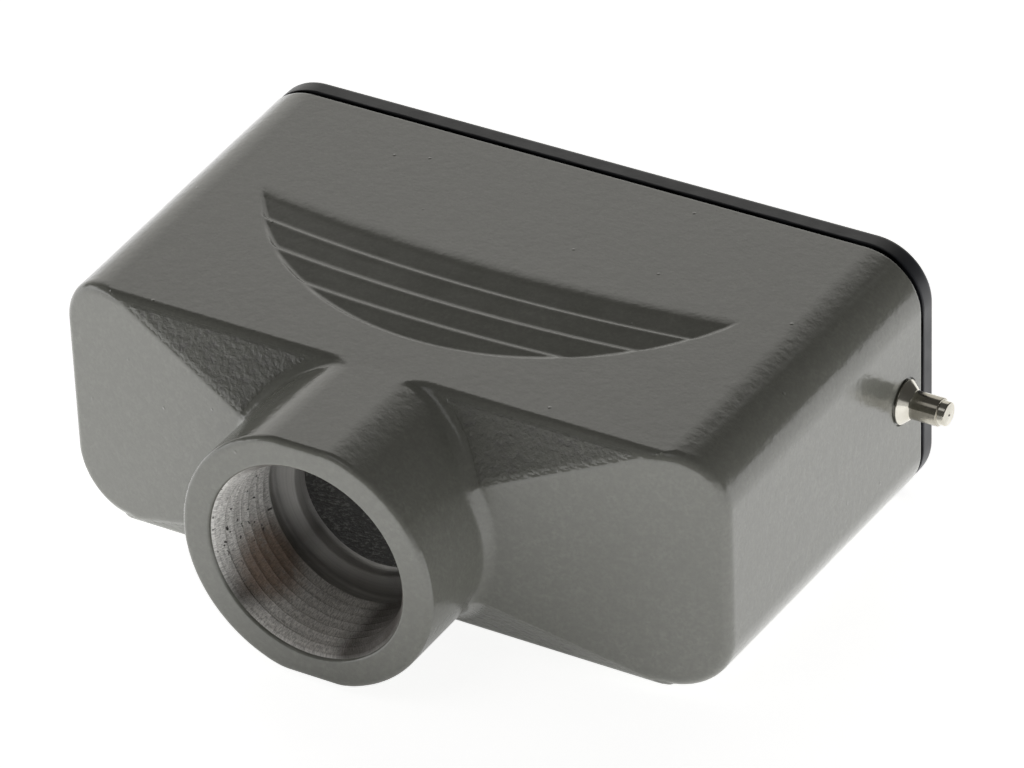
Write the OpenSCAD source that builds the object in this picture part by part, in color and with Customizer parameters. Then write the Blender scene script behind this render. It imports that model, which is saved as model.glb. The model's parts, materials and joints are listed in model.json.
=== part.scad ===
// Straight-entry hood of a heavy duty rectangular connector, lying on one long side.
// X runs along its length, the cable entry opens towards -Y, the mating rim faces +Y
// and +Z is up. The origin is under the middle of the part, on the surface it lies on.

/* [Hood casting] */
// Length of the hood at its mating rim
hood_l = 118; // [114:0.5:122]
// Thickness of the hood at its mating rim, between its long sides
hood_t = 44.6; // [43:0.1:46]
// Depth of the box, from the shoulders' foot to the mating rim
hood_h = 62.1; // [56:0.1:70]
// Radius of the four upright corners
corner_r = 9.5; // [8:0.1:11]
// How much narrower each end is at the shoulders than at the rim
draft_l = 0.95; // [0.6:0.05:1.2]
// How much thinner each long side is at the shoulders than at the rim
draft_t = 1.25; // [0.8:0.05:1.4]
// Wall thickness at the rim
wall = 3.4; // [3.2:0.1:3.8]
// Slope of the shoulders that rise to the tube, degrees
shoulder_deg = 13.7; // [11:0.1:15]
// Depth gained per millimetre of height on the triangular facets
facet_slope = 0.64; // [0.55:0.01:0.75]
// Rounding of the casting's outer edges
edge_r = 1.8; // [1:0.1:2.2]

/* [Cable entry tube] */
// Length of the tube in front of the shoulders' foot
tube_len = 22.9; // [20:0.1:26]
// Outer radius of the tube
tube_r = 21.7; // [21.2:0.1:22]
// Radius of the fillet between the tube and the shoulders
fillet_r = 2.4; // [1.5:0.1:3]
// Rounding of the tube's outer lip
lip_r = 1.2; // [0.6:0.1:1.6]
// Radius to the crests of the cable entry thread, M32 by 1.5
thread_r = 15.19; // [15.0:0.01:15.4]
// Radius of the chamfer at the mouth of the thread
mouth_r = 16.8; // [16.3:0.1:17.2]
// Depth from the mouth to the end of the thread
thread_depth = 14.5; // [13:0.1:15.5]
// Radius of the relief groove behind the thread
relief_r = 16.6; // [16.2:0.1:17]
// Width of the relief groove
relief_w = 2.8; // [2:0.1:3]
// Radius of the passage from the thread into the hood
passage_r = 12.6; // [12:0.1:13.2]

/* [Louvred recess] */
// Radius of the arc that bounds the recess
recess_r = 47.5; // [45:0.5:49]
// Height of that arc's lowest point above the shoulders' foot
recess_y = 9.3; // [8.5:0.1:11]
// Number of louvres
louvre_n = 4; // [3:1:4]
// Distance from one louvre to the next
louvre_pitch = 5.6; // [5:0.1:5.8]
// Depth of a louvre at its foot
louvre_d = 1; // [0.6:0.1:1.3]
// Radius of the lowest louvre's gentle curve
louvre_r = 306; // [280:1:340]

/* [Inside of the hood] */
// Distance between the insert screws along the hood
screw_l = 104; // [102:0.5:104]
// Distance between the insert screws across the hood
screw_t = 27; // [26:0.5:27.5]
// Radius of a screw boss
boss_r = 4.3; // [4:0.1:4.6]
// Depth of the boss faces below the rim
boss_drop = 19; // [16:0.5:22]
// Radius to the crests of the M4 threads in the bosses
screw_r = 1.65; // [1.6:0.01:1.7]
// Depth of the M4 threads
screw_depth = 12; // [8:0.5:14]

/* [Locking pegs] */
// Distance of the pegs' axis below the rim
peg_drop = 5.6; // [5.2:0.1:7]
// Radius of a peg's shank
peg_r = 2.3; // [2.1:0.05:2.6]
// Radius of a peg's collar
collar_r = 3.65; // [3.4:0.05:4.5]
// Length of the collar, with its taper to the shank
collar_len = 2.25; // [1.5:0.05:2.6]
// Length of a peg outside the hood
peg_len = 8; // [7:0.1:9]
// Length of the turned-down tip
tip_len = 1.3; // [0.8:0.1:1.8]
// Radius of the turned-down tip
tip_r = 1.95; // [1.7:0.05:2]

/* [Rim seal] */
// Height of the seal above the rim
seal_h = 4.4; // [4:0.1:5.4]
// How far the seal's outline lies inside the rim's
seal_inset = 0.1; // [0:0.1:0.8]
// Rounding of the seal's outer edge
seal_r = 1.1; // [0.6:0.1:1.5]
// Height of the shadow gap under the seal's head
seal_gap = 0.8; // [0.5:0.1:1]
// Width of the seal's tongue and of its groove in the rim
tongue_w = 1.3; // [1:0.1:1.4]
// Depth of the tongue in the rim
tongue_d = 1.4; // [1:0.1:1.6]

/* [Hidden] */
$fn = 96;
hull_fn = 40;
skin = 0.01;
past = 1;
paint = "#6c6d67";

// Half sizes at the rim and at the shoulders' foot
rim_x = hood_l / 2;
rim_z = hood_t / 2;
foot_x = rim_x - draft_l;
foot_z = rim_z - draft_t;
function end_x(y) = foot_x + draft_l * y / hood_h;
face_tilt = atan(draft_t / hood_h);

// The shoulders start where the corners' rounding ends, and would meet in a short ridge
shoulder_x = foot_x - corner_r;
ridge_y = -shoulder_x * tan(shoulder_deg);
ridge_z = foot_z + ridge_y / facet_slope;

// How far the tube runs back into the box
tube_root = 3;

// The cavity's roof follows the shoulders and facets from inside
roof_y = -2.2;
roof_x = 19;
facet_back = wall * sqrt(1 + facet_slope * facet_slope);
roof_z = foot_z - (facet_back - roof_y) / facet_slope;
cavity_r = corner_r - wall;

thread_end_y = thread_depth - tube_len;
relief_end_y = thread_end_y + relief_w;
peg_y = hood_h - peg_drop;
boss_y = hood_h - boss_drop;
seat_depth = 0.3;
seat_x = end_x(peg_y) - seat_depth;
rivet_sink = 0.06;
peg_inner_x = end_x(peg_y) - wall + rivet_sink;
sink_len = 1;
sink_r = peg_r + sink_len;
tongue_x = -(wall + tongue_w) / 2;

// The part lies with its rim's long edge on the surface, centred over the origin
mid_y = (hood_h + seal_h - tube_len) / 2;

module placed() {
    translate([0, -mid_y, rim_z])
        children();
}

// Mirrored copies on both ends, or on all four corners
module both_ends() {
    for (s = [0, 1])
        mirror([s, 0, 0])
            children();
}

module four_corners() {
    for (s = [0, 1])
        mirror([0, 0, s])
            both_ends()
                children();
}

// Turns a solid drawn along +Z to run along +Y
module along_y() {
    rotate([-90, 0, 0])
        children();
}

// ---- casting ----

// A thin disc across the hood, leaning with the shoulder
module leaning_disc(x, y, z, r, lean = 0) {
    translate([x, y, z])
        rotate([0, 0, lean])
            along_y()
                cylinder(h = skin, r = r, $fn = hull_fn);
}

// One corner of the outer form: a rounded edge at the shoulder, a crisp one at the rim
module outer_corner() {
    for (a = [0 : 15 : 90]) {
        back = edge_r * (1 - cos(a));
        leaning_disc(shoulder_x - back * sin(shoulder_deg), back * cos(shoulder_deg),
            foot_z - corner_r, corner_r - edge_r * (1 - sin(a)), shoulder_deg);
    }
    leaning_disc(rim_x - corner_r, hood_h - skin, rim_z - corner_r, corner_r);
}

// The closed outer form, a tapered box whose front is a hipped roof
module outer_form() {
    hull() {
        four_corners()
            outer_corner();
        for (s = [-1, 1])
            translate([0, ridge_y + edge_r, s * (ridge_z - edge_r * 0.6)])
                sphere(r = edge_r, $fn = hull_fn);
    }
}

// The tube, flat where it runs on from the long sides
module tube() {
    intersection() {
        along_y()
            rotate_extrude()
                tube_outline();
        translate([-tube_r, -tube_len, -foot_z])
            cube([2 * tube_r, tube_len + tube_root, 2 * foot_z]);
    }
}

// Depth of the hipped front at a place across it
function front_y(x, z) =
    max((abs(x) - shoulder_x) * tan(shoulder_deg), (abs(z) - foot_z) * facet_slope);

// The fillet's section at one angle round the tube: a buried corner, then the hollow arc
// from the tube's wall to the front, its ends just under both surfaces
function fillet_ring(angle, sunk) =
    let (foot = front_y(tube_r * cos(angle), tube_r * sin(angle)),
        out_r = tube_r + fillet_r,
        rise = (front_y(out_r * cos(angle), out_r * sin(angle)) - foot) / fillet_r,
        mid = foot + fillet_r * (rise - sqrt(1 + rise * rise)),
        last = 90 + atan(rise),
        arc = [for (i = [0 : 5]) 180 + (last - 180) * i / 5],
        section = concat([[tube_r - 2, foot + 2]], [for (a = arc)
            [out_r + (fillet_r + sunk) * cos(a), mid + (fillet_r + sunk) * sin(a)]]))
    [for (p = section) [p[0] * cos(angle), p[1], p[0] * sin(angle)]];

// The fillet on the right of the tube, swept from one flat to the other
module tube_fillet() {
    steps = 24;
    reach = 80;
    n = 7;
    points = [for (k = [0 : steps]) each fillet_ring(reach * (2 * k / steps - 1), 0.04)];
    sides = [for (k = [0 : steps - 1], i = [0 : n - 1])
        let (j = (i + 1) % n) each [
            [k * n + i, k * n + j, (k + 1) * n + j],
            [k * n + i, (k + 1) * n + j, (k + 1) * n + i]
        ]];
    ends = [[for (i = [n - 1 : -1 : 0]) i], [for (i = [0 : n - 1]) steps * n + i]];
    intersection() {
        polyhedron(points, concat(sides, ends));
        translate([0, -tube_len, -foot_z])
            cube([2 * tube_r, 2 * tube_len, 2 * foot_z]);
    }
}

// Half section of the tube, with its rounded lip, about the axis
module tube_outline() {
    lip = [for (a = [0 : 15 : 90])
        [tube_r - lip_r + lip_r * sin(a), lip_r - lip_r * cos(a) - tube_len]];
    polygon(concat([[0, -tube_len]], lip, [[tube_r, tube_root], [0, tube_root]]));
}

// The cavity between the walls, open at the rim
module cavity() {
    hull() {
        four_corners() {
            leaning_disc(rim_x - corner_r, hood_h + past, rim_z - corner_r, cavity_r);
            leaning_disc(shoulder_x, wall / cos(shoulder_deg), foot_z - corner_r, cavity_r, shoulder_deg);
        }
        translate([-roof_x, roof_y, -roof_z])
            cube([2 * roof_x, skin, 2 * roof_z]);
    }
}

// A column for one insert screw, joined to the end wall and the long side
module screw_boss() {
    x = screw_l / 2;
    z = screw_t / 2;
    translate([x, 0, z])
        along_y()
            cylinder(h = boss_y, r = boss_r);
    translate([x, 0, z - boss_r])
        cube([rim_x - x, boss_y, 2 * boss_r]);
    translate([x - boss_r, 0, z])
        cube([2 * boss_r, boss_y, rim_z - z]);
}

// The stepped hole for the cable gland, through the tube into the cavity
module cable_bore() {
    chamfer = mouth_r - thread_r;
    profile = [
        [0, -tube_len - past], [mouth_r + past, -tube_len - past],
        [thread_r, -tube_len + chamfer], [thread_r, thread_end_y],
        [relief_r, thread_end_y], [relief_r, relief_end_y],
        [passage_r, relief_end_y], [passage_r, roof_y + past], [0, roof_y + past]
    ];
    along_y()
        rotate_extrude()
            polygon(profile);
}

// The half section of the louvres, swept about a far centre: each blade falls gently
// away from its crest to its foot, where a steep step climbs to the next crest
module louvre_section() {
    top = louvre_r - louvre_n * louvre_pitch;
    start = top - 0.9;
    blade = [[0, -0.06], [0.7, -0.14], [1.4, -0.3], [louvre_pitch - 0.1, -louvre_d]];
    blades = [for (i = [0 : louvre_n - 1], p = blade) [top + i * louvre_pitch + p[0], p[1]]];
    polygon(concat([[start, past], [start, 0]], blades,
        [[louvre_r + past, -louvre_d], [louvre_r + past, past]]));
}

// The louvred recess, cut square to the upper long side
module louvre_recess() {
    span = 2 * asin(recess_r / louvre_r);
    translate([0, 0, foot_z])
        rotate([face_tilt, 0, 0])
            intersection() {
                translate([0, recess_y + louvre_r, 0])
                    rotate([0, 0, -90 - span / 2])
                        rotate_extrude(angle = span, $fn = 720)
                            louvre_section();
                translate([0, recess_y + recess_r, -2 * louvre_d])
                    cylinder(h = 3 * louvre_d + past, r = recess_r);
            }
}

// The hole of one peg: a flat seat outside, a countersink inside
module peg_hole() {
    translate([0, peg_y, 0])
        rotate([0, 90, 0]) {
            translate([0, 0, rim_x - 2 * wall])
                cylinder(h = 3 * wall, r = peg_r);
            translate([0, 0, seat_x])
                cylinder(h = wall, r = collar_r + 0.3);
            translate([0, 0, peg_inner_x - past])
                cylinder(h = sink_len + past, r1 = sink_r + past, r2 = peg_r);
        }
}

// The half section of the seal, with x outwards from the rim's outline, y out of the rim
module seal_section() {
    inner_x = 0.2 - wall;
    bevel = 0.4;
    top = [for (a = [0 : 15 : 90])
        [seal_r * cos(a) - seal_inset - seal_r, seal_r * sin(a) + seal_h - seal_r]];
    polygon(concat([
        [tongue_x, -tongue_d], [tongue_x + tongue_w, -tongue_d], [tongue_x + tongue_w, seal_gap],
        [-seal_inset, seal_gap]
    ], top, [
        [inner_x + bevel, seal_h], [inner_x, seal_h - bevel], [inner_x, seal_gap],
        [tongue_x, seal_gap]
    ]));
}

module tongue_section() {
    translate([tongue_x, -tongue_d])
        square([tongue_w, tongue_d + past]);
}

// Sweeps a half section round the rim
module round_rim() {
    translate([0, hood_h, 0])
        along_y()
            for (sx = [0, 1], sy = [0, 1])
                mirror([sx, 0, 0])
                    mirror([0, sy, 0]) {
                        translate([rim_x - corner_r, rim_z - corner_r, 0])
                            rotate_extrude(angle = 90)
                                translate([corner_r, 0])
                                    children();
                        translate([rim_x, rim_z - corner_r, 0])
                            rotate([90, 0, 0])
                                linear_extrude(rim_z - corner_r)
                                    children();
                        translate([0, rim_z, 0])
                            rotate([90, 0, 90])
                                linear_extrude(rim_x - corner_r)
                                    children();
                    }
}

// ---- the pieces ----

module hood_casting() {
    color(paint)
        placed()
            difference() {
                union() {
                    outer_form();
                    tube();
                    both_ends()
                        tube_fillet();
                }
                difference() {
                    cavity();
                    four_corners()
                        screw_boss();
                }
                four_corners()
                    translate([screw_l / 2, boss_y - screw_depth, screw_t / 2])
                        along_y()
                            cylinder(h = screw_depth + past, r = screw_r);
                cable_bore();
                louvre_recess();
                both_ends()
                    peg_hole();
                round_rim()
                    tongue_section();
            }
}

// A turned peg: riveted end, shank, flared collar, tip with a centre mark
module peg() {
    seat = seat_x - peg_inner_x;
    tip = seat + peg_len;
    profile = [
        [0, 0], [sink_r, 0], [peg_r, sink_len], [peg_r, seat], [collar_r, seat],
        [collar_r, seat + 0.4], [peg_r, seat + collar_len], [peg_r, tip - tip_len],
        [tip_r + 0.1, tip - tip_len + 0.1], [tip_r, tip - 0.15], [tip_r - 0.15, tip],
        [0.3, tip], [0, tip - 0.3]
    ];
    translate([peg_inner_x, peg_y, 0])
        rotate([0, 90, 0])
            rotate_extrude()
                polygon(profile);
}

module locking_peg_left() {
    color("silver")
        placed()
            mirror([1, 0, 0])
                peg();
}

module locking_peg_right() {
    color("silver")
        placed()
            peg();
}

module rim_seal() {
    color("#26282c")
        placed()
            round_rim()
                seal_section();
}

hood_casting();
locking_peg_left();
locking_peg_right();
rim_seal();
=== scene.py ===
"""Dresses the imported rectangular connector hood.

The painted casting is meshed from the same planes, cylinders and roundings as the CAD solid,
with the soft edges of a casting. The louvred panel, the sleeve of the cable entry with its bare
ridged bore, the turned pegs and the rubber seal are pieces of their own. Sizes are in millimetres
in the hood's own frame: X along it, Y from the shoulders' foot to the rim, Z across it from its
middle plane.
"""
import json
import math

import bmesh
import bpy
import numpy as np
from mathutils import Matrix, Vector


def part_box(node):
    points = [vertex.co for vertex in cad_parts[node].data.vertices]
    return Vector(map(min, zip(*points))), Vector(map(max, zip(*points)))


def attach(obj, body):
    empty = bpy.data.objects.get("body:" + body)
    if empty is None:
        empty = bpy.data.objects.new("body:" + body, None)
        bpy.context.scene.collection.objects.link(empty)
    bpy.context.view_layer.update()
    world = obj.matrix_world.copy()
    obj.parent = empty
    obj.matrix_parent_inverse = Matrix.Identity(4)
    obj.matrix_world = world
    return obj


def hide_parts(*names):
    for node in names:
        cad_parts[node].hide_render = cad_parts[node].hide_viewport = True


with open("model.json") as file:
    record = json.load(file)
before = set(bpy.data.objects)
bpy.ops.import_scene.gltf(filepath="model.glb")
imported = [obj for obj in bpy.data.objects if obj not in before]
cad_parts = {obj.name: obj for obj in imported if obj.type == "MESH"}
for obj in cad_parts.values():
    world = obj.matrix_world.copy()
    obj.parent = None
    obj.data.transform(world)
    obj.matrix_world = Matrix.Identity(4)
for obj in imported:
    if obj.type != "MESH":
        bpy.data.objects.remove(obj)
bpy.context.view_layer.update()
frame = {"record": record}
MM = 0.001

# ---- sizes ----

CAST_LO, CAST_HI = (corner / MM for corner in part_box("hood_casting"))
SEAL_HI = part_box("rim_seal")[1] / MM
PEG_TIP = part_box("locking_peg_right")[1] / MM
MOUNTS = {mount["name"]: mount for mount in frame["record"]["mounts"]}

# The outside of the casting: tube, roundings, wall, drafts and slopes
TUBE_LEN = 22.9
TUBE_R = 21.7
FILLET_R = 2.4
LIP_R = 1.0
FLAT_R = 12.0
CORNER_R = 9.5
EDGE_R = 1.8
HIP_R = 1.4
RIM_R = 0.35
TUBE_ROOT = 5
HIDDEN_R = 0.1
WALL = 3.4
DRAFT_L = 0.95
DRAFT_T = 1.25
SHOULDER = math.radians(13.7)
FACET_SLOPE = 0.64

# Half widths and length of the box, at the rim and at the shoulders' foot
RIM_X = (CAST_HI.x - CAST_LO.x) / 2
RIM_Z = (CAST_HI.z - CAST_LO.z) / 2
RIM_Y = CAST_HI.y - CAST_LO.y - TUBE_LEN
FOOT_X = RIM_X - DRAFT_L
FOOT_Z = RIM_Z - DRAFT_T
SHOULDER_X = FOOT_X - CORNER_R
FACE_TILT = math.atan(DRAFT_T / RIM_Y)

# The cable entry: ridges, mouth, relief groove, passage and the roof of the cavity
RIDGE_R = MOUNTS["cable_entry"]["dims"]["r_mm"]
RIDGE_PITCH = 2.06
RIDGE_TURN = 0.40
RIDGE_TALL = 0.6
MOUTH_R = 16.8
RIDGE_END = 14.7 - TUBE_LEN
RELIEF_R = 16.6
RELIEF_END = RIDGE_END + 2.8
PASSAGE_R = 12.6
SLEEVE_R = 17.8
ROOF_X = 19.0
ROOF_Y = -2.2

# The insert screws, their columns and the roundings inside
SCREW_X = MOUNTS["insert_screws"]["dims"]["spacing_x_mm"] / 2
SCREW_Z = MOUNTS["insert_screws"]["dims"]["spacing_y_mm"] / 2
SCREW_R = MOUNTS["insert_screws"]["dims"]["hole_r_mm"]
BOSS_R = 4.3
BOSS_Y = RIM_Y - 19.0
SCREW_DEEP = 12.0
BOSS_TOP_R = 0.4
BOSS_FOOT_R = 0.8
ROOF_R = 1
CAVITY_R = 2

# The louvred recess in the upper long side
RECESS_R = 47.5
RECESS_Y = 9.3
LOUVRE_N = 4
LOUVRE_PITCH = 5.6
LOUVRE_DEEP = 1.0
LOUVRE_CREST = 0.06
LOUVRE_STEP = 0.12
LOUVRE_R = 306.0
PANEL_X = 46.4
PANEL_COLUMNS = 311

# Pegs and seal
PEG_R = MOUNTS["locking_peg_right"]["dims"]["r_mm"]
PEG_Y = RIM_Y - 5.6
PEG_SEAT_R = 3.95
PEG_SEAT_X = FOOT_X + DRAFT_L * PEG_Y / RIM_Y - 0.3
COLLAR_R = 3.65
COLLAR_LEN = 2.25
TIP_R = 1.95
TIP_LEN = 1.42
SEAL_INSET = 0.1
SEAL_GAP = 0.8
SEAL_R = 1.1

# The hood frame's origin in the row frame
ORIGIN = Vector((0, CAST_LO.y + TUBE_LEN, (CAST_LO.z + CAST_HI.z) / 2)) * MM
# Size of the cells that the casting is meshed with
CELL = 0.575


def to_row(points):
    """Points in the hood frame, in millimetres, to the row frame in metres."""
    return np.asarray(points, float) * MM + np.array(ORIGIN)


def new_object(name, points, faces, smooth=True):
    """A mesh object from points in the hood frame."""
    mesh = bpy.data.meshes.new(name)
    mesh.from_pydata(to_row(points).tolist(), [], faces)
    mesh.validate()
    if smooth:
        mesh.shade_smooth()
    else:
        mesh.shade_flat()
    made = bpy.data.objects.new(name, mesh)
    bpy.context.scene.collection.objects.link(made)
    return made


def read(items, name, width=1, kind=float):
    """An array with width numbers for each of a mesh's items."""
    values = np.empty(len(items) * width, kind)
    items.foreach_get(name, values)
    return values.reshape(-1, width) if width > 1 else values


def in_hood_frame(places):
    """Places on a mesh as a field takes them: millimetres in the hood frame, one a column."""
    return ((places - np.array(ORIGIN)) / MM).T


def write_mask(target, name, values):
    """A number for each vertex, which a material reads by its name."""
    made = target.data.attributes.new(name, "FLOAT", "POINT")
    made.data.foreach_set("value", values.astype(np.float32))


# ---- distance fields: a pair of signed distance and outward normal for each point ----

def plane(p, normal, offset):
    """Half space behind a plane."""
    n = np.array(normal, np.float32)
    n /= np.linalg.norm(n)
    return p.T @ n - np.float32(offset), np.broadcast_to(n[:, None], p.shape)


def inverse(field):
    """What lies outside the field."""
    return -field[0], -field[1]


def meet(a, b, r):
    """What lies in both, its edge rounded to radius r."""
    (da, na), (db, nb) = a, b
    c = np.clip((na * nb).sum(0), -0.999, 0.999)
    u = da + r
    v = db + r
    edge = (v > c * u) & (u > c * v) & ((u > 0) | (v > 0))
    to_edge = np.sqrt(np.maximum(u * u + v * v - 2 * c * u * v, 0) / (1 - c * c))
    d = np.where(edge, to_edge, np.maximum(u, v)) - r
    n = np.where(u > v, na, nb)
    turned = (u - c * v) * na + (v - c * u) * nb
    turned /= np.maximum(np.linalg.norm(turned, axis=0), 1e-6)
    return d, np.where(edge, turned, n)


def join(a, b, r):
    """What lies in either, its inner corner filled to radius r."""
    return inverse(meet(inverse(a), inverse(b), r))


def box_outline(p, inset):
    """The drafted box with its round corners, endless along Y."""
    x, y, z = p
    r = CORNER_R - inset
    half_x = FOOT_X + DRAFT_L * y / RIM_Y - inset
    half_z = FOOT_Z + DRAFT_T * np.maximum(y, 0) / RIM_Y - inset
    u = np.abs(x) - half_x + r
    v = np.abs(z) - half_z + r
    far = np.hypot(np.maximum(u, 0), np.maximum(v, 0))
    d = far + np.minimum(np.maximum(u, v), 0) - r
    corner = (u > 0) & (v > 0)
    safe = np.maximum(far, 1e-6)
    nx = np.where(corner, u / safe, u > v)
    nz = np.where(corner, v / safe, u <= v)
    ny = -nx * DRAFT_L / RIM_Y - nz * DRAFT_T / RIM_Y * (y > 0)
    length = np.sqrt(1 + ny * ny)
    n = np.stack([nx * np.sign(x), ny, nz * np.sign(z)]) / length
    return d / length, n


def shoulders(p, slope, at_x, at_y=0.0):
    """The half space behind the two shoulders, whose foot is at at_x and at_y."""
    x, y, _ = p
    length = math.hypot(1, slope)
    d = ((np.abs(x) - at_x) * slope - y + at_y) / length
    one = np.ones_like(x)
    return d, np.stack([np.sign(x) * slope, -one, 0 * one]) / length


def facets(p, slope, at_z, at_y=0.0):
    """The half space behind the two triangular facets, whose foot is at at_z and at_y."""
    _, y, z = p
    length = math.hypot(1, slope)
    d = ((np.abs(z) - at_z) * slope - y + at_y) / length
    one = np.ones_like(z)
    return d, np.stack([0 * one, -one, np.sign(z) * slope]) / length


def round_bar(p, r):
    """An endless cylinder along Y."""
    x, _, z = p
    far = np.hypot(x, z)
    return far - r, np.stack([x, 0 * x, z]) / np.maximum(far, 1e-6)


def flats(p):
    """The slab between the flats on the tube."""
    z = p[2]
    return np.abs(z) - FOOT_Z, np.stack([0 * z, 0 * z, np.sign(z)])


def front(p):
    """The hipped front: shoulders and facets, with rounded hips."""
    return meet(shoulders(p, math.tan(SHOULDER), SHOULDER_X), facets(p, FACET_SLOPE, FOOT_Z), HIP_R)


def outer_form(p):
    """The casting's outside: drafted box, hipped front, and the tube with its fillet and lip."""
    tube = meet(round_bar(p, TUBE_R), flats(p), FLAT_R)
    tube = meet(tube, plane(p, (0, 1, 0), TUBE_ROOT), HIDDEN_R)
    body = meet(join(tube, front(p), FILLET_R), box_outline(p, 0), EDGE_R)
    body = meet(body, plane(p, (0, -1, 0), TUBE_LEN), LIP_R)
    return meet(body, plane(p, (0, 1, 0), RIM_Y), RIM_R)


def screw_bosses(p):
    """The four columns for the insert screws, each joined to its end wall and long side."""
    x, y, z = p
    u = np.abs(x) - SCREW_X
    v = np.abs(z) - SCREW_Z
    far = np.hypot(u, v)
    parts = [far - BOSS_R, np.maximum(-u, np.abs(v) - BOSS_R), np.maximum(-v, np.abs(u) - BOSS_R)]
    d = np.minimum.reduce(parts)
    which = [d == parts[0], d == parts[1]]
    safe = np.maximum(far, 1e-6)
    face_x = -u > np.abs(v) - BOSS_R
    face_z = -v > np.abs(u) - BOSS_R
    nx = np.select(which, [u / safe, np.where(face_x, -1, 0)], np.where(face_z, 0, np.sign(u)))
    nz = np.select(which, [v / safe, np.where(face_x, 0, np.sign(v))], np.where(face_z, -1, 0))
    column = d, np.stack([nx * np.sign(x), 0 * y, nz * np.sign(z)])
    return meet(column, plane(p, (0, 1, 0), BOSS_Y), BOSS_TOP_R)


def cavity(p):
    """The hollow behind the walls, open at the rim."""
    back = WALL / math.cos(SHOULDER)
    roof = plane(p, (0, -1, 0), -ROOF_Y)
    slope = (back - ROOF_Y) / (SHOULDER_X - ROOF_X)
    behind = meet(shoulders(p, slope, SHOULDER_X, back), roof, ROOF_R)
    behind = meet(behind, facets(p, FACET_SLOPE, FOOT_Z, WALL * math.hypot(1, FACET_SLOPE)), ROOF_R)
    space = meet(box_outline(p, WALL), behind, CAVITY_R)
    return meet(space, inverse(screw_bosses(p)), BOSS_FOOT_R)


def casting(p):
    """The outside with the cavity taken out of it."""
    return meet(outer_form(p), inverse(cavity(p)), RIM_R)


# ---- meshing of a field ----

def net(field, axes):
    """A quad mesh on the field's surface: one vertex a cell, drawn onto the surface."""
    shape = tuple(len(axis) for axis in axes)
    values = np.empty(shape, np.float32)
    for i, x in enumerate(axes[0]):
        y, z = np.meshgrid(axes[1], axes[2], indexing="ij")
        p = np.stack([np.full(y.size, x, np.float32), y.ravel(), z.ravel()])
        values[i] = field(p)[0].reshape(shape[1:])
    inside = values < 0
    owners, spots, quads = [], [], []
    for axis in range(3):
        first = [slice(None)] * 3
        last = [slice(None)] * 3
        first[axis] = slice(0, -1)
        last[axis] = slice(1, None)
        crossing = inside[tuple(first)] != inside[tuple(last)]
        cell = np.argwhere(crossing)
        nxt = cell.copy()
        nxt[:, axis] += 1
        f0 = values[tuple(cell.T)]
        f1 = values[tuple(nxt.T)]
        spot = np.stack([axes[k][cell[:, k]] for k in range(3)], 1)
        spot[:, axis] += (axes[axis][nxt[:, axis]] - spot[:, axis]) * f0 / (f0 - f1)
        a, b = (axis + 1) % 3, (axis + 2) % 3
        ring = []
        for da, db in ((0, 0), (1, 0), (1, 1), (0, 1)):
            c = cell.copy()
            c[:, a] -= da
            c[:, b] -= db
            ring.append(np.ravel_multi_index(c.T, shape))
            owners.append(ring[-1])
            spots.append(spot)
        ring = np.stack(ring, 1)
        flip = f0 > f1
        ring[flip] = ring[flip][:, ::-1]
        quads.append(ring)
    keys, index = np.unique(np.concatenate(owners), return_inverse=True)
    spots = np.concatenate(spots)
    count = np.bincount(index)
    points = np.stack([np.bincount(index, spots[:, k]) / count for k in range(3)])
    for _ in range(3):
        d, n = field(points)
        points = points - d * n
    return points.T, np.searchsorted(keys, np.concatenate(quads))


def spaced(*stops):
    """Places along an axis, from (where, step) stops: each step holds up to the next stop."""
    runs = [np.arange(here, there, step) for (here, step), (there, _) in zip(stops, stops[1:])]
    return np.concatenate(runs).astype(np.float32)


def cut(target, cutter):
    """Takes the cutter, which is then deleted, out of the target."""
    change = target.modifiers.new("cut", "BOOLEAN")
    change.operation = "DIFFERENCE"
    change.solver = "MANIFOLD"
    change.object = cutter
    apply_changes(target)
    bpy.data.objects.remove(cutter)


def apply_changes(target):
    """Puts what the modifiers make in place of the mesh."""
    graph = bpy.context.evaluated_depsgraph_get()
    done = bpy.data.meshes.new_from_object(target.evaluated_get(graph))
    old = target.data
    target.modifiers.clear()
    target.data = done
    bpy.data.meshes.remove(old)


def lathe(profile, around=128, axis="Y", closed=False):
    """Points and faces of a profile of (radius, height) turned about an axis."""
    turns = np.linspace(0, 2 * math.pi, around, endpoint=False)
    rows = np.array(profile, float)
    r, h = rows[:, :1], rows[:, 1:]
    ring = [r * np.cos(turns), h + 0 * turns, r * np.sin(turns)]
    points = np.stack(ring, 2).reshape(-1, 3)
    if axis == "X":
        points = points[:, [1, 0, 2]] * [1, 1, -1]
    return points, grid_faces(len(rows), around, closed, True)


def grid_faces(rows, columns, close_rows=False, close_columns=False):
    """Quads of a grid of points stored row by row."""
    i = np.arange(rows if close_rows else rows - 1)[:, None]
    j = np.arange(columns if close_columns else columns - 1)[None, :]
    i2, j2 = (i + 1) % rows, (j + 1) % columns
    quads = [i * columns + j, i * columns + j2, i2 * columns + j2, i2 * columns + j]
    return np.stack([q + 0 * i + 0 * j for q in quads], 2).reshape(-1, 4).tolist()


def capped_bar(name, r, start, end, axis="Y", around=128):
    """A plain cylinder for cutting, from start to end along an axis."""
    points, faces = lathe([[r, start], [r, end]], around, axis)
    faces += [list(range(around))[::-1], list(range(around, 2 * around))]
    made = new_object(name, points, faces, False)
    face_outwards(made)
    return made


def face_outwards(target):
    """Turns all normals outwards."""
    work = bmesh.new()
    work.from_mesh(target.data)
    bmesh.ops.recalc_face_normals(work, faces=work.faces)
    work.to_mesh(target.data)
    work.free()


# ---- the pieces ----

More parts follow.
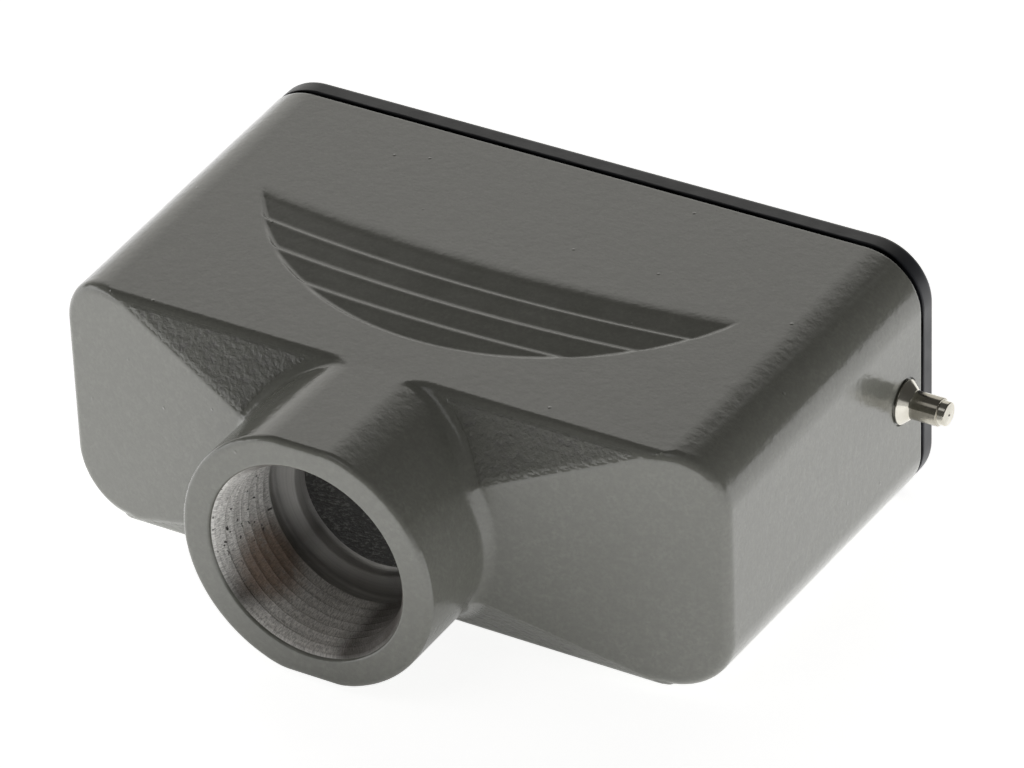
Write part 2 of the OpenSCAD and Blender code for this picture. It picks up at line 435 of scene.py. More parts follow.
def louvre_depth(x, v):
    """Depth of the louvred recess below the long face, at a place on that face."""
    step, pad, soft_mm = 0.02, 60, 0.3
    end = LOUVRE_N * LOUVRE_PITCH
    u = np.hypot(x, v - RECESS_Y - LOUVRE_R) - LOUVRE_R + end
    fine = np.arange(-3, end + 6, step)
    s = np.where(fine < end, fine % LOUVRE_PITCH, LOUVRE_PITCH - LOUVRE_STEP)
    blade = np.interp(s, [0, 0.7, 1.4, LOUVRE_PITCH - LOUVRE_STEP, LOUVRE_PITCH],
                      [LOUVRE_CREST, 0.14, 0.30, LOUVRE_DEEP, LOUVRE_CREST])
    blade = np.where(fine < 0, np.interp(fine, [-0.9, 0], [0, LOUVRE_CREST]), blade)
    kernel = np.exp(-0.5 * (np.arange(-pad, pad + 1) * step / soft_mm) ** 2)
    soft = np.convolve(np.pad(blade, pad, "edge"), kernel / kernel.sum(), "valid")
    depth = np.interp(u, fine, soft)
    inward = RECESS_R - np.hypot(x, v - RECESS_Y - RECESS_R)
    wall_slope, fillet = 1.1, 0.5
    wall = wall_slope * (inward + 0.1)
    blend = np.clip(0.5 + 0.5 * (wall - depth) / fillet, 0, 1)
    low = wall * (1 - blend) + depth * blend - fillet * blend * (1 - blend)
    return np.where(inward < -0.25, 0, np.maximum(low, 0))


def panel_rows():
    """Distances from the louvres' far centre, close together about each crest."""
    start = LOUVRE_R - LOUVRE_N * LOUVRE_PITCH
    crests = start + LOUVRE_PITCH * np.arange(LOUVRE_N + 1)
    even = np.arange(start - 1.8, LOUVRE_R + 1.2, 0.3)
    near = np.concatenate([crests + 0.15 * k for k in range(-4, 5)])
    even = even[np.abs(even[:, None] - crests).min(1) > 0.7]
    return np.unique(np.round(np.concatenate([even, near]), 3))


def panel_height(far, x):
    """Height on the long face of the arc that lies this far from the louvres' far centre."""
    return RECESS_Y + LOUVRE_R - np.sqrt(far * far - x * x)


def on_long_face(x, v, w):
    """Points on the upper long side: across, up towards the rim, and out of the face."""
    y = v * math.cos(FACE_TILT) - w * math.sin(FACE_TILT)
    z = FOOT_Z + v * math.sin(FACE_TILT) + w * math.cos(FACE_TILT)
    return np.stack([x, y, z], -1).reshape(-1, 3)


def louvre_panel():
    """The recess and the strip of face round it, as a grid along the louvres' arcs."""
    far = panel_rows()[:, None]
    x = np.linspace(-PANEL_X, PANEL_X, PANEL_COLUMNS)[None, :]
    v = panel_height(far, x)
    depth = louvre_depth(x, v)
    faces = [face[::-1] for face in grid_faces(len(far), x.size)]
    made = new_object("louvre_panel", on_long_face(x + 0 * far, v, -depth), faces)
    calm_depth = 0.25
    write_mask(made, "calm", np.clip(depth / calm_depth, 0, 1).ravel())
    return made


def panel_pocket():
    """A cutter with the panel's outline, that makes room for it in the casting."""
    rows = panel_rows()
    x = np.linspace(-PANEL_X, PANEL_X, PANEL_COLUMNS)
    sides = [panel_height(far, x) for far in (rows[-1], rows[0])]
    outline_x = np.concatenate([x, x[::-1]])
    outline_v = np.concatenate([sides[0], sides[1][::-1]])
    floor, top = -1.9, 2
    points = np.concatenate([on_long_face(outline_x, outline_v, w + 0 * outline_x) for w in (floor, top)])
    n = len(outline_x)
    faces = grid_faces(2, n, False, True) + [list(range(n)), list(range(n, 2 * n))]
    made = new_object("panel_pocket", points, faces, False)
    face_outwards(made)
    return made


def shade_from_field(target, field):
    """Normals from the field where a face lies on it, so that no facet shows."""
    mesh = target.data
    normal = field(in_hood_frame(read(mesh.vertices, "co", 3)))[1].T
    sizes = read(mesh.polygons, "loop_total", 1, int)
    of_face = np.repeat(read(mesh.polygons, "normal", 3), sizes, axis=0)
    of_field = normal[read(mesh.loops, "vertex_index", 1, int)]
    agree = (of_face * of_field).sum(1) > math.cos(math.radians(40))
    mesh.normals_split_custom_set(np.where(agree[:, None], of_field, of_face).tolist())


def mark_rough_facets(target):
    """A mask on the vertices: 1 within the triangular facets, 0 from their margins outwards."""
    p = in_hood_frame(read(target.data.vertices, "co", 3))
    hip_angle, soft = 0.61, 0.5
    hip_margin, edge_margin, tube_margin = 0.7, 0.95, 1.9
    to_hip = -shoulders(p, math.tan(SHOULDER), SHOULDER_X)[0] / math.sin(hip_angle) - hip_margin
    to_edge = FOOT_Z - np.abs(p[2]) - edge_margin
    to_tube = np.hypot(p[0], p[2]) - TUBE_R - tube_margin
    margin = np.minimum(np.minimum(to_hip, to_edge), to_tube)
    on_facet = np.abs(facets(p, FACET_SLOPE, FOOT_Z)[0]) < 0.3
    write_mask(target, "rough", np.clip(margin / soft + 0.5, 0, 1) * on_facet)


def faces_inside(target):
    """Gives the faces of the cavity the second material."""
    polygons = target.data.polygons
    p = in_hood_frame(read(polygons, "center", 3))
    on_cavity = np.abs(cavity(p)[0]) < 0.15
    under_skin = (outer_form(p)[0] < -0.8) & (p[1] > RIM_Y - 60)
    polygons.foreach_set("material_index", (on_cavity | under_skin).astype(np.int32))


def hood_shell():
    """The casting, with room cut for the louvred panel, the sleeve, the pegs and the screws."""
    across = [spaced((-half - 1.37, CELL), (half + 1, CELL)) for half in (RIM_X, RIM_Z)]
    along = spaced((-TUBE_LEN - 1.13, 0.7 * CELL), (3 - TUBE_LEN, CELL), (5, 3 * CELL),
                   (BOSS_Y - 2, 0.8 * CELL), (BOSS_Y + 1, 3 * CELL), (RIM_Y - 1.3, 0.5 * CELL),
                   (RIM_Y + 0.7, 1))
    points, quads = net(casting, (across[0], along, across[1]))
    made = new_object("hood_shell", points, quads.tolist())
    cut(made, panel_pocket())
    cut(made, capped_bar("entry_room", SLEEVE_R, -TUBE_LEN - 5, 0.5, around=192))
    for sx in (-1, 1):
        start, end = sorted((sx * (RIM_X - 1.5 * WALL), sx * (RIM_X + 5)))
        seat, out = sorted((sx * PEG_SEAT_X, sx * (RIM_X + 5)))
        rooms = (("peg_room", PEG_R, start, end), ("peg_seat", PEG_SEAT_R, seat, out))
        for name, r, low_x, high_x in rooms:
            bar = capped_bar(name, r, low_x, high_x, "X", 64)
            bar.data.transform(Matrix.Translation((0, PEG_Y * MM, 0)))
            cut(made, bar)
        for sz in (-1, 1):
            bar = capped_bar("screw_room", SCREW_R, BOSS_Y - SCREW_DEEP, BOSS_Y + 2, around=40)
            bar.data.transform(Matrix.Translation((sx * SCREW_X * MM, 0, sz * SCREW_Z * MM)))
            cut(made, bar)
    shade_from_field(made, casting)
    mark_rough_facets(made)
    return made


def arc(centre, r, start, end, steps=6):
    """Points on an arc in a profile's (radius, height) plane, angles in degrees."""
    turns = np.radians(np.linspace(start, end, steps + 1))
    return np.stack([centre[0] + r * np.cos(turns), centre[1] + r * np.sin(turns)], 1).tolist()


def ridge_height(turn):
    """Height of the bore's ridges, 0 to 1: a drop behind each crest, then a rise to the next."""
    drop, curve = 0.12, 1.3
    s = turn % 1
    rise = (np.maximum(s - drop, 0) / (1 - drop)) ** curve
    return np.where(s < drop, 1 - s / drop, rise)


def entry_sleeve():
    """The cable entry's skin: painted mouth, then bare chamfer, ridges, groove and passage.

    It comes with the number of its painted faces, which are the first ones.
    """
    around, per_ridge, lip, chamfer_slope = 256, 18, 0.45, 0.45
    mouth = -TUBE_LEN
    start = mouth + 0.8
    before = [[SLEEVE_R, mouth]]
    before += arc((MOUTH_R + lip, mouth + lip), lip, 270, 180, 5)
    before += [[MOUTH_R - 0.05, mouth + 0.5]]
    steps = np.arange(start, RIDGE_END, RIDGE_PITCH / per_ridge)
    after = [[RELIEF_R, RIDGE_END + 0.25], [RELIEF_R, RELIEF_END - 0.3], [RELIEF_R - 0.3, RELIEF_END],
             [PASSAGE_R + 0.35, RELIEF_END], [PASSAGE_R, RELIEF_END + 0.3], [PASSAGE_R, ROOF_Y - 0.35],
             [PASSAGE_R + 0.35, ROOF_Y], [SLEEVE_R + 0.2, ROOF_Y]]
    profile = np.array(before + [[0, y] for y in steps] + after)
    turns = np.linspace(0, 2 * math.pi, around, endpoint=False)[None, :]
    r = np.repeat(profile[:, :1], around, 1)
    y = np.repeat(profile[:, 1:], around, 1)
    ridge = ridge_height(y / RIDGE_PITCH + turns / (2 * math.pi) + RIDGE_TURN)
    bore = RIDGE_R + RIDGE_TALL * (1 - ridge)
    chamfer = MOUTH_R - 0.4 - (y - start) * chamfer_slope
    bore = np.maximum(bore, np.minimum(chamfer, MOUTH_R))
    ridged = slice(len(before), len(profile) - len(after))
    r[ridged] = bore[ridged]
    points = np.stack([r * np.cos(turns), y, r * np.sin(turns)], 2).reshape(-1, 3)
    made = new_object("entry_sleeve", points, grid_faces(len(profile), around, False, True))
    return made, (len(before) - 1) * around


def peg(name, side):
    """A turned peg: riveted end, collar with its taper, shank, turned-down tip, centre mark."""
    tip = PEG_TIP.x
    seat = PEG_SEAT_X
    inner = seat - WALL + 0.4
    flare, neck = 1, COLLAR_R - 0.6
    slope = math.degrees(math.atan2(COLLAR_R - PEG_R, COLLAR_LEN - 0.65))
    profile = [[0, inner], [PEG_R + flare, inner], [PEG_R, inner + flare], [PEG_R, seat]]
    profile += [[neck, seat], [neck, seat + 0.4]]
    profile += arc((COLLAR_R - 0.1, seat + 0.5), 0.1, -90, 0, 3)
    profile += arc((COLLAR_R - 0.15, seat + 0.6), 0.15, 0, 90 - slope, 4)
    profile += arc((PEG_R + 0.3, seat + COLLAR_LEN), 0.3, 270 - slope, 180, 4)
    profile += arc((PEG_R - 0.12, tip - TIP_LEN), 0.12, 0, 70, 4)
    profile += [[TIP_R + 0.02, tip - TIP_LEN + 0.2], [TIP_R, tip - 1.0]]
    profile += arc((TIP_R - 0.22, tip - 0.22), 0.22, 0, 90, 5)
    profile += [[0.32, tip], [0.22, tip - 0.12], [0, tip - 0.3]]
    points, faces = lathe(profile, 96, "X")
    points = points * [side, 1, 1] + [0, PEG_Y, 0]
    made = new_object(name, points, faces)
    face_outwards(made)
    sharpen(made, 35)
    return made


def sharpen(target, degrees):
    """Smooth shading up to an angle between faces."""
    work = bmesh.new()
    work.from_mesh(target.data)
    limit = math.radians(degrees)
    for edge in work.edges:
        edge.smooth = len(edge.link_faces) == 2 and edge.calc_face_angle(0) < limit
    work.to_mesh(target.data)
    work.free()


def rim_path(per_corner=24, per_side=40):
    """Round the rim: the corner centres' points, and the way out from each."""
    cx, cz = RIM_X - CORNER_R, RIM_Z - CORNER_R
    centres, ways = [], []
    for k, (sx, sz) in enumerate(((1, 1), (-1, 1), (-1, -1), (1, -1))):
        turns = np.radians(90 * k + np.linspace(0, 90, per_corner + 1))
        centres += [(sx * cx, sz * cz)] * (per_corner + 1)
        ways += np.stack([np.cos(turns), np.sin(turns)], 1).tolist()
        nx, nz = ((-1, 1), (-1, -1), (1, -1), (1, 1))[k]
        for t in np.linspace(0, 1, per_side + 1)[1:-1]:
            centres.append((cx * (sx + (nx - sx) * t), cz * (sz + (nz - sz) * t)))
            ways.append(ways[-1])
    return np.array(centres), np.array(ways)


def rim_seal():
    """The moulded seal, swept round the rim, with the small waves of a fitted rubber part."""
    top = SEAL_HI.y - ORIGIN.y / MM - RIM_Y
    inner = 0.2 - WALL
    tongue = [[-2.9, -0.6], [-1.4, -0.6]]
    section = [[inner, SEAL_GAP]] + tongue + [[-1.3, SEAL_GAP]]
    section += arc((-SEAL_INSET - 0.25, SEAL_GAP + 0.25), 0.25, 270, 360, 3)
    section += [[-SEAL_INSET, SEAL_GAP + 0.4], [-SEAL_INSET, top - SEAL_R - 0.15]]
    section += arc((-SEAL_INSET - SEAL_R, top - SEAL_R), SEAL_R, 0, 90, 8)
    section += arc((inner + 0.4, top - 0.4), 0.4, 90, 180, 4)
    centres, ways = rim_path()
    along = np.cumsum(np.r_[0, np.linalg.norm(np.diff(centres + ways * CORNER_R, axis=0), axis=1)])
    out = np.array(section)[:, 0] + CORNER_R
    up = np.array(section)[:, 1]
    turn = 2 * math.pi * along / (along[-1] + 1)
    wave = 0.05 * np.sin(23 * turn) + 0.04 * np.sin(41 * turn + 1)
    side = centres[:, None, :] + ways[:, None, :] * out[None, :, None]
    waved = (up > 0) & (up < 1.2)
    y = RIM_Y + up[None, :] + waved[None, :] * wave[:, None]
    points = np.stack([side[..., 0], y, side[..., 1]], 2).reshape(-1, 3)
    made = new_object("rim_seal_skin", points, grid_faces(len(centres), len(section), True, True))
    face_outwards(made)
    sharpen(made, 40)
    return made


# ---- materials ----

class Nodes:
    """A short way to write a material's node tree."""

    def __init__(self, name="", tree=None):
        if tree:
            self.tree = tree
            return
        self.material = bpy.data.materials.new(name)
        self.material.use_nodes = True
        self.tree = self.material.node_tree
        self.shader = self.tree.nodes["Principled BSDF"]

    def add(self, kind, inputs=None, **values):
        node = self.tree.nodes.new(kind)
        for key, value in values.items():
            setattr(node, key, value)
        for key, value in (inputs or {}).items():
            self.put(node.inputs[key], value)
        return node

    def put(self, socket, value):
        if isinstance(value, bpy.types.NodeSocket):
            self.tree.links.new(value, socket)
        else:
            socket.default_value = value

    def places(self):
        return self.add("ShaderNodeTexCoord").outputs["Object"]

    def noise(self, size_mm, detail=2.0, rough=0.5, stretch=None):
        """Noise whose grain is about size_mm across."""
        places = self.places()
        if stretch:
            places = self.add("ShaderNodeMapping", {"Vector": places, "Scale": stretch}).outputs[0]
        return self.add("ShaderNodeTexNoise", {"Vector": places, "Scale": 1 / (size_mm * MM * 2),
                                               "Detail": detail, "Roughness": rough}).outputs["Fac"]

    def lines(self, place, size_mm, detail, rough=0.5):
        """Noise along one measure only, so that it makes lines across it."""
        along = self.add("ShaderNodeCombineXYZ", {"X": place}).outputs[0]
        return self.add("ShaderNodeTexNoise", {"Vector": along, "Scale": 1 / (size_mm * MM),
                                               "Detail": detail, "Roughness": rough}).outputs["Fac"]

    def mask(self, name):
        """A number that the mesh holds for each vertex."""
        return self.add("ShaderNodeAttribute", attribute_name=name).outputs["Fac"]

    def split(self, vector):
        """The X, Y and Z of a vector."""
        return self.add("ShaderNodeSeparateXYZ", {0: vector}).outputs

    def ramp(self, value, low, high, to_low=0.0, to_high=1.0):
        node = self.add("ShaderNodeMapRange", {"Value": value, "From Min": low, "From Max": high,
                                               "To Min": to_low, "To Max": to_high})
        return node.outputs["Result"]

    def fade(self, value, none, full):
        """0 at none, 1 at full, and smooth between them."""
        node = self.add("ShaderNodeMapRange", {"Value": value, "From Min": none, "From Max": full},
                        interpolation_type="SMOOTHSTEP")
        return node.outputs["Result"]

    def sums(self, operation, a, b):
        return self.add("ShaderNodeMath", {0: a, 1: b}, operation=operation).outputs[0]

    def mix(self, share, a, b):
        node = self.add("ShaderNodeMix", data_type="RGBA")
        self.put(node.inputs[0], share)
        self.put(node.inputs[6], a)
        self.put(node.inputs[7], b)
        return node.outputs[2]

    def bump(self, height, depth_mm, strength=1.0, under=None):
        node = self.add("ShaderNodeBump", {"Height": height, "Distance": depth_mm * MM,
                                           "Strength": strength})
        if under:
            self.put(node.inputs["Normal"], under)
        return node.outputs["Normal"]

    def finish(self, **inputs):
        for key, value in inputs.items():
            self.put(self.shader.inputs[key.replace("_", " ")], value)
        return self.material


PAINT = (0.196, 0.198, 0.174)


def opaque(colour, factor):
    """A colour made darker or lighter by a factor, with its alpha."""
    return tuple(part * factor for part in colour) + (1,)


def paint_material():
    """Powder coat: fine orange peel, a few pimples, rough cast grain on the facets."""
    t = Nodes("hood_paint")
    rough = t.mask("rough")
    grain = t.noise(0.55, 3, 0.6)
    orange = t.noise(0.8, 2, 0.5)
    fine = t.noise(0.3, 2, 0.6)
    colour = paint_colour(t, rough, grain, orange, fine)
    cast = t.bump(t.sums("MULTIPLY", rough, grain), 0.32, under=paint_relief(t, orange, fine))
    gloss = t.ramp(t.noise(2.5, 2), 0.3, 0.7, 0.15, 0.20)
    gloss = t.sums("ADD", gloss, t.sums("MULTIPLY", rough, 0.3))
    return t.finish(Base_Color=colour, Roughness=gloss, Normal=cast, IOR=1.65)


def paint_colour(t, rough, grain, orange, fine):
    """A broad tone, dark grain on the facets, painted shade on the peel, and a painted highlight line."""
    colour = t.mix(t.ramp(t.noise(9, 3), 0.3, 0.7), opaque(PAINT, 0.95), opaque(PAINT, 1.05))
    dark = t.sums("MULTIPLY", rough, t.ramp(grain, 0.35, 0.6, 1, 0))
    colour = t.mix(dark, colour, (0.125, 0.116, 0.12, 1))
    # Painted shade: the peel's noise darkens the paint in step with the peel's bumps.
    colour = t.mix(t.ramp(orange, 0.3, 0.7), colour, opaque(PAINT, 0.86))
    colour = t.mix(t.ramp(fine, 0.35, 0.65, 0.0, 0.9), colour, opaque(PAINT, 0.82))
    # Painted highlight: a lighter broken line where the rounding starts.
    return t.mix(t.sums("MULTIPLY", painted_crease_highlight(t), 0.45), colour, (0.30, 0.30, 0.28, 1))


def paint_relief(t, orange, fine):
    """Peel and broad waves, both calmer on the louvres, and a few pimples."""
    calm = t.mask("calm")
    peel = t.bump(orange, 0.045, t.ramp(calm, 0, 1, 1, 0.2))
    peel = t.bump(fine, 0.022, t.ramp(calm, 0, 1, 1, 0.4), peel)
    waves = t.bump(t.noise(3.2, 1, 0.4), 0.02, t.ramp(calm, 0, 1, 1, 0), peel)
    apart = 6.5 * MM
    spots = t.add("ShaderNodeTexVoronoi", {"Vector": t.places(), "Scale": 1 / apart, "Randomness": 1.0})
    return t.bump(t.ramp(spots.outputs["Distance"], 0.0, 0.055, 1, 0), 0.1, under=waves)


def painted_crease_highlight(t):
    """1 on a faint broken painted highlight along each end of the upper long face, where rounding starts.
    """
    line_x, draft, width, lower_z = 52.4 * MM, 0.05, 0.6 * MM, 30 * MM
    x, y, z = t.split(t.places())
    place = t.sums("ADD", t.sums("MULTIPLY", y, draft), line_x)
    off = t.sums("ABSOLUTE", t.sums("SUBTRACT", t.sums("ABSOLUTE", x, 0.0), place), 0.0)
    broken = t.sums("MULTIPLY", t.ramp(off, 0, width, 1, 0), t.ramp(t.noise(0.6, 2), 0.3, 0.65))
    upper = t.sums("MULTIPLY", t.sums("GREATER_THAN", z, lower_z), t.ramp(y, -21 * MM, -19 * MM))
    return t.sums("MULTIPLY", broken, upper)


def inside_material():
    """Unpainted rough cast inside with small bright specks; its dark colour is painted shade for the
    hollow.
    """
    t = Nodes("cast_inside")
    grain = t.noise(0.4, 3, 0.65)
    # Dark base colours: painted shade for the hollow, over the real grain and specks.
    colour = t.mix(t.ramp(grain, 0.52, 0.66), (0.05, 0.05, 0.048, 1), (0.20, 0.20, 0.19, 1))
    skin = t.bump(grain, 0.15)
    return t.finish(Base_Color=colour, Metallic=0.4, Roughness=0.55, Normal=skin)


STAIN_AT = (-12.5 * MM, -35.5 * MM, 13 * MM)
DEEP_FROM = -30.4 * MM
DEEP_TO = -30.0 * MM


def bore_side(t, x, z, radius, degrees, none, full):
    """1 on the bore's side at this angle from +X, and less around it."""
    turn = math.radians(degrees)
    along = t.sums("ADD", t.sums("MULTIPLY", x, math.cos(turn)), t.sums("MULTIPLY", z, math.sin(turn)))
    return t.fade(t.sums("DIVIDE", along, radius), none, full)


def bare_material():
    """Bare machined casting alloy: turning lines, chatter, pores, a stain and painted light."""
    t = Nodes("bare_alloy")
    x, y, z = t.split(t.places())
    z = t.sums("SUBTRACT", z, ORIGIN.z)
    radius = t.sums("SQRT", t.sums("ADD", t.sums("MULTIPLY", x, x), t.sums("MULTIPLY", z, z)), 0.0)
    # The bore's left side and foot: painted light makes them lighter, and the pores and film follow them.
    left = bore_side(t, x, z, radius, 168, 0.60, 0.97)
    foot = bore_side(t, x, z, radius, 256, 0.80, 0.985)
    deep = t.ramp(y, DEEP_FROM, DEEP_TO)
    colour = bare_tone_and_painted_light(t, left, foot, deep)
    pores = t.sums("MULTIPLY", left, t.ramp(deep, 0, 1, 1, 0))
    pores = t.sums("MULTIPLY", t.ramp(t.noise(0.42, 1, 0.5), 0.70, 0.725), pores)
    colour = t.mix(pores, colour, (0.04, 0.037, 0.034, 1))
    chatter = bare_chatter(t, t.sums("ARCTAN2", x, z), y)
    chatter = t.sums("MULTIPLY", chatter, t.ramp(deep, 0, 1, 1, 0.5))
    colour = t.mix(t.ramp(chatter, 0.42, 0.60, 0.0, 0.42), colour, (0.10, 0.095, 0.09, 1))
    lines = t.lines(t.sums("ADD", y, radius), 0.5, 3.0, 0.65)
    colour = t.mix(t.ramp(lines, 0.42, 0.62, 0.0, 0.25), colour, (0.12, 0.115, 0.11, 1))
    relief = t.bump(chatter, 0.14, under=t.bump(lines, 0.05))
    pits = t.bump(pores, -0.06, under=relief)
    gloss = t.ramp(t.noise(1.5, 2), 0.3, 0.7, 0.38, 0.52)
    return t.finish(Base_Color=colour, Metallic=0.15, Roughness=gloss, Normal=pits)


def bare_tone_and_painted_light(t, left, foot, deep):
    """The bore's tone: painted light on two sides, painted shade between, a brown stain, darker deep
    inside.
    """
    cloudy = t.ramp(t.noise(2.5, 3, 0.6), 0.3, 0.7, -0.12, 0.12)
    # Painted light and shade: lighter on two sides, darker between, with random clouds.
    painted_light_and_clouds = t.sums("ADD", t.sums("MAXIMUM", left, foot), cloudy)
    colour = t.mix(painted_light_and_clouds, (0.15, 0.138, 0.126, 1), (1.0, 0.985, 0.95, 1))
    apart = t.add("ShaderNodeVectorMath", {0: t.places(), 1: STAIN_AT}, operation="DISTANCE")
    stain = t.fade(apart.outputs["Value"], 9 * MM, 3 * MM)
    film = t.sums("MULTIPLY", stain, t.ramp(t.noise(0.5, 3, 0.6), 0.3, 0.5, 0.5, 0.95))
    film = t.sums("MAXIMUM", film, t.sums("MULTIPLY", foot, 0.15))
    colour = t.mix(film, colour, (0.42, 0.305, 0.235, 1))
    return t.mix(t.sums("MULTIPLY", deep, 0.75), colour, (0.26, 0.255, 0.242, 1))


def bare_chatter(t, angle, y):
    """Marks of the cutter, which are longer round the bore than along it."""
    around = t.add("ShaderNodeCombineXYZ", {"X": angle, "Y": t.sums("MULTIPLY", y, 20.0)})
    return t.add("ShaderNodeTexNoise", {"Vector": around.outputs[0], "Scale": 70.0, "Detail": 3.0,
                                        "Roughness": 0.6}).outputs["Fac"]


def nickel_material():
    """Nickel-plated turned steel, warm, with fine turning lines and a shank darkened as painted
    reflection.
    """
    t = Nodes("peg_nickel")
    x = t.split(t.places())["X"]
    lines = t.lines(x, 0.1, 1.0)
    colour = t.mix(t.ramp(t.noise(1.5, 3), 0.35, 0.65), (0.47, 0.45, 0.39, 1), (0.60, 0.58, 0.52, 1))
    out = t.sums("ABSOLUTE", x, 0.0)
    shank = (PEG_SEAT_X + COLLAR_LEN) * MM
    tip = PEG_TIP.x * MM
    before_tip = t.ramp(out, tip - 1.3 * MM, tip - 1.1 * MM, 1, 0)
    # Painted dark reflection: the shank is darker, up to just before the tip.
    painted_dark_reflection = t.sums("MULTIPLY", t.ramp(out, shank, shank + 0.5 * MM), before_tip)
    colour = t.mix(t.sums("MULTIPLY", painted_dark_reflection, 0.7), colour, (0.27, 0.25, 0.205, 1))
    gloss = t.ramp(t.noise(0.6, 2), 0.3, 0.7, 0.12, 0.18)
    return t.finish(Base_Color=colour, Metallic=1.0, Roughness=gloss, Normal=t.bump(lines, 0.006))


def rubber_material():
    """Smooth moulded rubber, faint bloom; painted shade: black and unreflecting in the gap under the
    seal.
    """
    t = Nodes("seal_rubber")
    colour = t.mix(t.ramp(t.noise(3, 2), 0.3, 0.7), (0.012, 0.013, 0.017, 1), (0.020, 0.021, 0.027, 1))
    y = t.split(t.places())["Y"]
    # Painted shade: below the gap's end the rubber is black and has no reflection.
    gap_end = ORIGIN.y + (RIM_Y + SEAL_GAP) * MM
    clear_of_gap_shade = t.ramp(y, gap_end - 0.05 * MM, gap_end + 0.1 * MM)
    colour = t.mix(clear_of_gap_shade, (0.0015, 0.0015, 0.0015, 1), colour)
    skin = t.bump(t.noise(0.3, 2), 0.01)
    gloss = t.ramp(t.noise(2, 2), 0.3, 0.7, 0.36, 0.46)
    return t.finish(Base_Color=colour, Roughness=gloss, Normal=skin, IOR=1.42,
                    Specular_IOR_Level=t.sums("MULTIPLY", clear_of_gap_shade, 0.5))


def floor_material():
    """White floor that glows: even for the camera, dimmer near the object for all other rays."""
    t = Nodes("floor_white")
    near, away, dim, bright, to_camera = 13 * MM, 38 * MM, 0.36, 1.22, 0.85
    path = t.add("ShaderNodeLightPath")
    flat = t.add("ShaderNodeMapping", {"Vector": t.places(), "Scale": (0.7, 0.55, 0)}).outputs[0]
    apart = t.add("ShaderNodeVectorMath", {0: flat, 1: (8 * MM, -13 * MM, 0)}, operation="DISTANCE")
    # The glow lights the object as painted light, and its dimming near the object is a painted shadow.
    glow = t.ramp(apart.outputs["Value"], near, away, dim, bright)
    own = t.add("ShaderNodeMix", {0: path.outputs["Is Camera Ray"], 2: glow, 3: to_camera}).outputs[0]
    return t.finish(Base_Color=(0.85, 0.85, 0.85, 1), Roughness=0.9, Specular_IOR_Level=0.0,
                    Emission_Color=(1, 1, 1, 1), Emission_Strength=own)


# ---- the stage ----

ROOM_LIGHT = 0.10
PANEL_LIGHT = 1.12
FLOOR_HALF = 3000

# Name, azimuth, elevation, width and height in metres, radiance
SOFTBOXES = (
    ("right_light", -16, 9, (0.9, 0.28), 0.65),
    ("front_light", -100, 62, (0.5, 0.4), 0.6),
    ("left_light", 204, 9, (0.9, 0.28), 2.0),
)


def studio():
    """A white floor, a sky that is white to the camera, and three soft lights."""
    scene = bpy.context.scene
    scene.view_settings.view_transform = "Standard"
    scene.world = sky_world()
    corners = [[sx * FLOOR_HALF, sy * FLOOR_HALF, 0] for sx, sy in ((-1, -1), (1, -1), (1, 1), (-1, 1))]
    floor = new_object("floor", corners, [(0, 1, 2, 3)], False)
    floor.location.z = -ORIGIN.z
    floor.data.materials.append(floor_material())
    for box in SOFTBOXES:
        softbox(*box)


def sky_world():
    """White to the camera; for light, a dark room with one broad soft panel at the back."""
    world = bpy.data.worlds.new("studio")
    world.use_nodes = True
    t = Nodes(tree=world.node_tree)
    x, y, z = t.split(t.add("ShaderNodeTexCoord").outputs["Generated"])
    azimuth = t.sums("ARCTAN2", y, x)
    right = t.fade(azimuth, math.radians(72), math.radians(96))
    left = t.fade(azimuth, math.radians(175), math.radians(150))
    above = t.fade(z, math.sin(math.radians(50)), math.sin(math.radians(40)))
    panel = t.sums("MULTIPLY", t.sums("MULTIPLY", right, left), above)
    light = t.add("ShaderNodeBackground", {"Color": (1, 0.985, 0.945, 1),
                                           "Strength": t.ramp(panel, 0, 1, ROOM_LIGHT, PANEL_LIGHT)})
    seen = t.add("ShaderNodeBackground", {"Color": (1, 1, 1, 1)})
    path = t.add("ShaderNodeLightPath")
    both = t.add("ShaderNodeMixShader", {0: path.outputs["Is Camera Ray"], 1: light.outputs[0],
                                         2: seen.outputs[0]})
    t.put(t.tree.nodes["World Output"].inputs["Surface"], both.outputs[0])
    return world


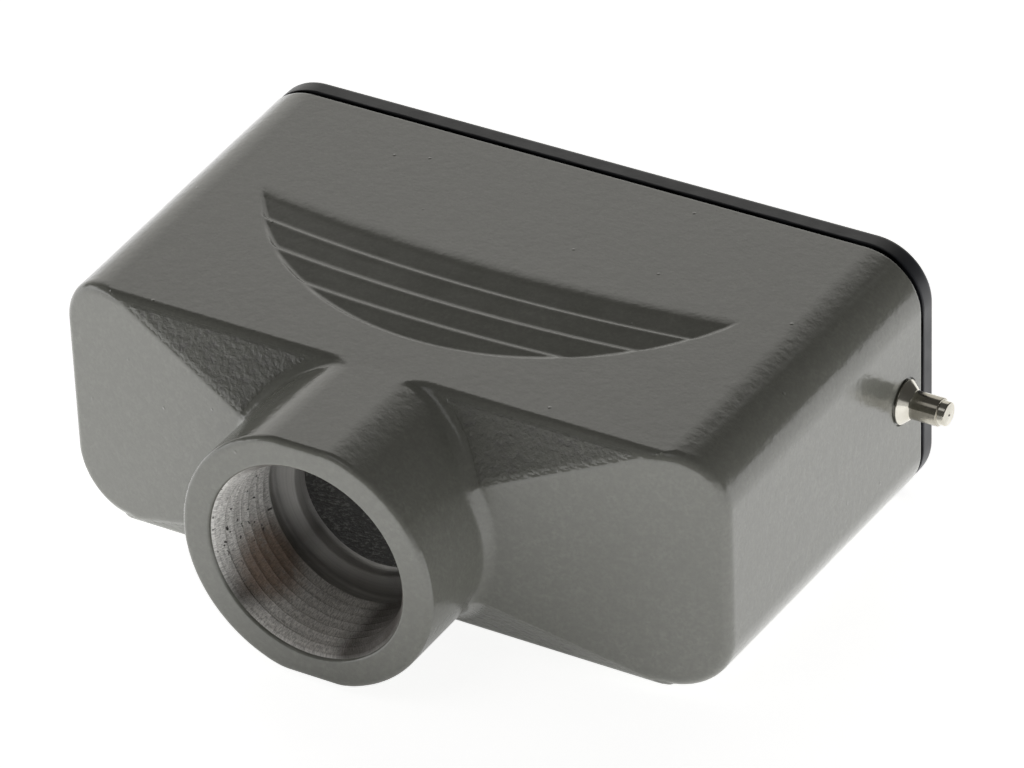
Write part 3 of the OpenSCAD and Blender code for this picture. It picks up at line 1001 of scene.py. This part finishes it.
def softbox(name, azimuth, elevation, size, radiance, distance=1.1):
    """A soft rectangular light facing the object; azimuth 0 is +X and 90 is +Y."""
    turn, rise = math.radians(azimuth), math.radians(elevation)
    way = Vector((math.cos(turn) * math.cos(rise), math.sin(turn) * math.cos(rise), math.sin(rise)))
    lamp = bpy.data.lights.new(name, "AREA")
    lamp.shape = "RECTANGLE"
    lamp.size, lamp.size_y = size
    lamp.energy = radiance * math.pi * size[0] * size[1]
    made = bpy.data.objects.new(name, lamp)
    bpy.context.scene.collection.objects.link(made)
    made.location = way * distance
    made.rotation_euler = way.to_track_quat("Z", "Y").to_euler()


def camera():
    """A long lens, turned slightly about its own axis."""
    azimuth, elevation, roll = (math.radians(a) for a in (31.5, 33.46, -2.30))
    away, lens_mm, sensor_mm = 0.99696, 232.38, 36
    back = Vector((math.sin(azimuth) * math.cos(elevation), -math.cos(azimuth) * math.cos(elevation),
                   math.sin(elevation)))
    aim = Vector((0.01269, -0.00451, 0.03457))
    data = bpy.data.cameras.new("camera")
    data.sensor_width = sensor_mm
    data.lens = lens_mm
    data.clip_start, data.clip_end = 0.05, 20
    made = bpy.data.objects.new("camera", data)
    bpy.context.scene.collection.objects.link(made)
    made.location = aim + back * away
    turn = (-back).to_track_quat("-Z", "Y").to_matrix().to_4x4() @ Matrix.Rotation(roll, 4, "Z")
    made.rotation_euler = turn.to_euler()
    bpy.context.scene.camera = made


def dress(piece, node, material):
    """Gives a piece its material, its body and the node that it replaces."""
    piece.data.materials.clear()
    piece.data.materials.append(material)
    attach(piece, "root")
    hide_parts(node)


def main():
    """Camera and stage first, then the six pieces."""
    camera()
    studio()
    paint = paint_material()
    bare = bare_material()
    shell = hood_shell()
    dress(shell, "hood_casting", paint)
    shell.data.materials.append(inside_material())
    faces_inside(shell)
    dress(louvre_panel(), "hood_casting", paint)
    sleeve, painted = entry_sleeve()
    dress(sleeve, "hood_casting", paint)
    sleeve.data.materials.append(bare)
    for face in sleeve.data.polygons:
        face.material_index = int(face.index >= painted)
    nickel = nickel_material()
    dress(peg("peg_right", 1), "locking_peg_right", nickel)
    dress(peg("peg_left", -1), "locking_peg_left", nickel)
    dress(rim_seal(), "rim_seal", rubber_material())


main()
